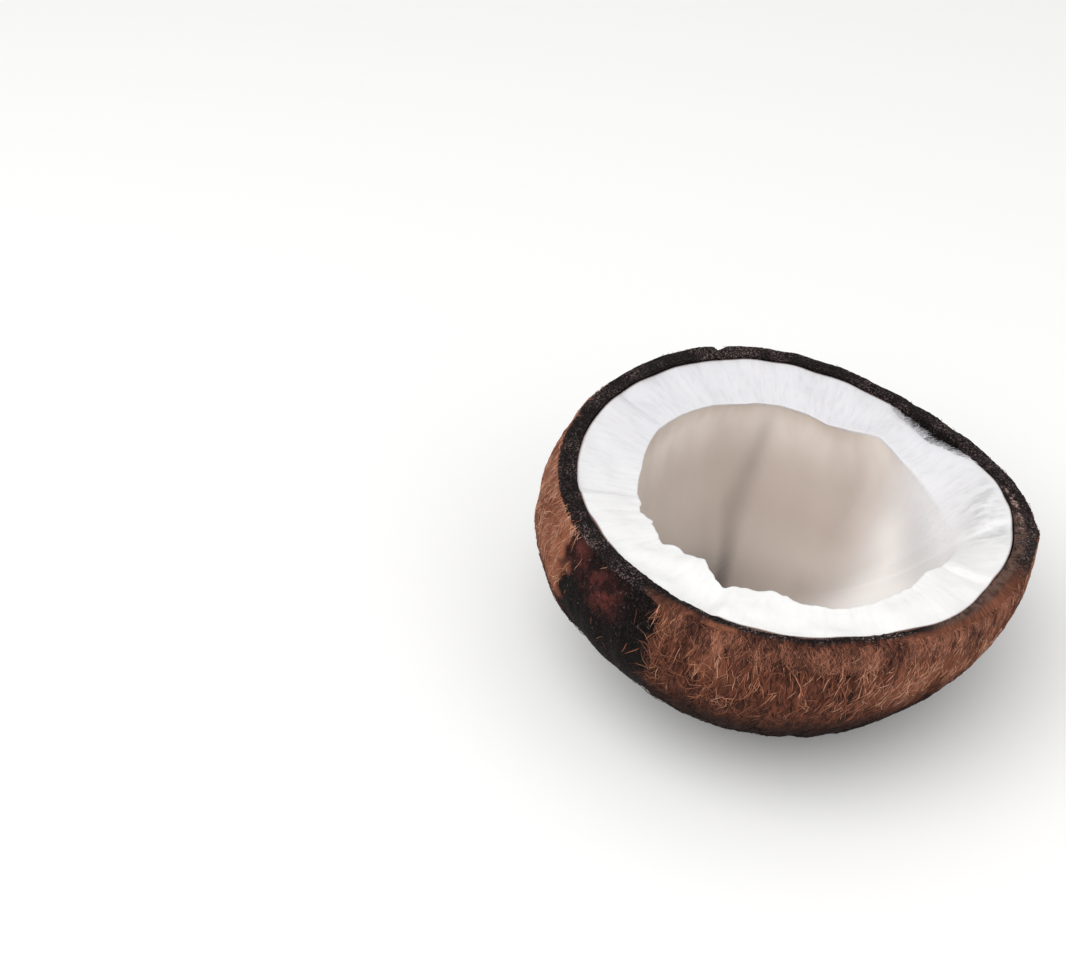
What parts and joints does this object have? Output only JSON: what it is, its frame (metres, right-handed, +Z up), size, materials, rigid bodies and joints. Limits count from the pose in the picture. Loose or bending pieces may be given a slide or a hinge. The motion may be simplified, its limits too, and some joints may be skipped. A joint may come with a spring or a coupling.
{
  "type": "coconut half",
  "caption": "Half of a mature brown coconut cracked across the middle: a fibrous woody shell lined with thick white flesh round an open hollow.",
  "frame": {"origin": "middle of the bounding box, on the plane that the half rests on", "axes": "+Z up, out of the hollow; +X to the right and +Y away from a viewer who faces the side that shows best, where the cracked edge leans a little to the right"},
  "size_m": [0.1136, 0.115, 0.0524],
  "materials": {
    "shell": "rough fibrous brown husk over a nearly black woody edge",
    "flesh": "moist white flesh, satin"
  },
  "bodies": {
    "root": {"shell": "shell", "flesh": "flesh"}
  },
  "joints": []
}
